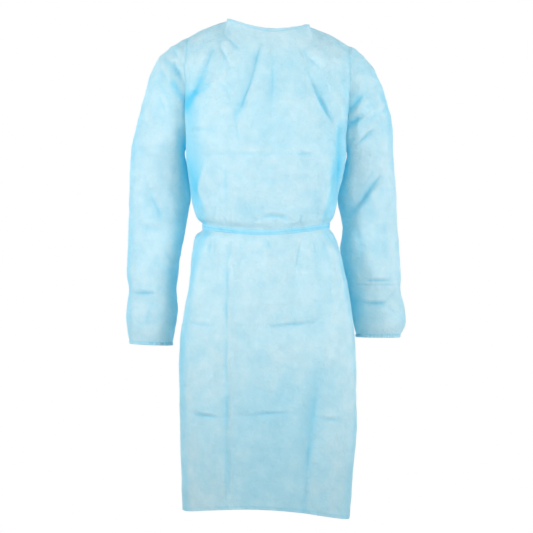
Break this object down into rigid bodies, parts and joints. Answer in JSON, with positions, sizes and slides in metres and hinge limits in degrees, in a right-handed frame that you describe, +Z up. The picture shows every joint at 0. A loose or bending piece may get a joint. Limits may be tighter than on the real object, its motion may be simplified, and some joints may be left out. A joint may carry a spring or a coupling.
{
  "type": "procedure gown",
  "caption": "Long-sleeved disposable procedure gown of pale blue non-woven cloth, in its hollow worn form, tied behind at neck and waist, with gathered cuffs.",
  "frame": {"origin": "between the wearer's shoulders, at the height of the shoulder seams' outer ends, where the wearer's shoulders carry the gown", "axes": "+Z up along the gown from hem to neck, -Y the way its front faces, +X the wearer's left"},
  "size_m": [0.6462, 0.2761, 1.1411],
  "materials": {
    "nonwoven_cloth": "matte spunbonded non-woven, slightly sheer",
    "nonwoven_band": "matte spunbonded non-woven, folded double"
  },
  "bodies": {
    "root": {"front_panel": "nonwoven_cloth", "back_panel_left": "nonwoven_cloth", "back_panel_right": "nonwoven_cloth", "sleeve_left": "nonwoven_cloth", "sleeve_right": "nonwoven_cloth", "cuff_left": "nonwoven_band", "cuff_right": "nonwoven_band", "neck_binding": "nonwoven_band", "waist_belt": "nonwoven_band", "neck_knot": "nonwoven_band", "belt_knot": "nonwoven_band", "neck_tie_left": "nonwoven_band", "neck_tie_right": "nonwoven_band", "belt_tie_left": "nonwoven_band", "belt_tie_right": "nonwoven_band"}
  },
  "joints": []
}
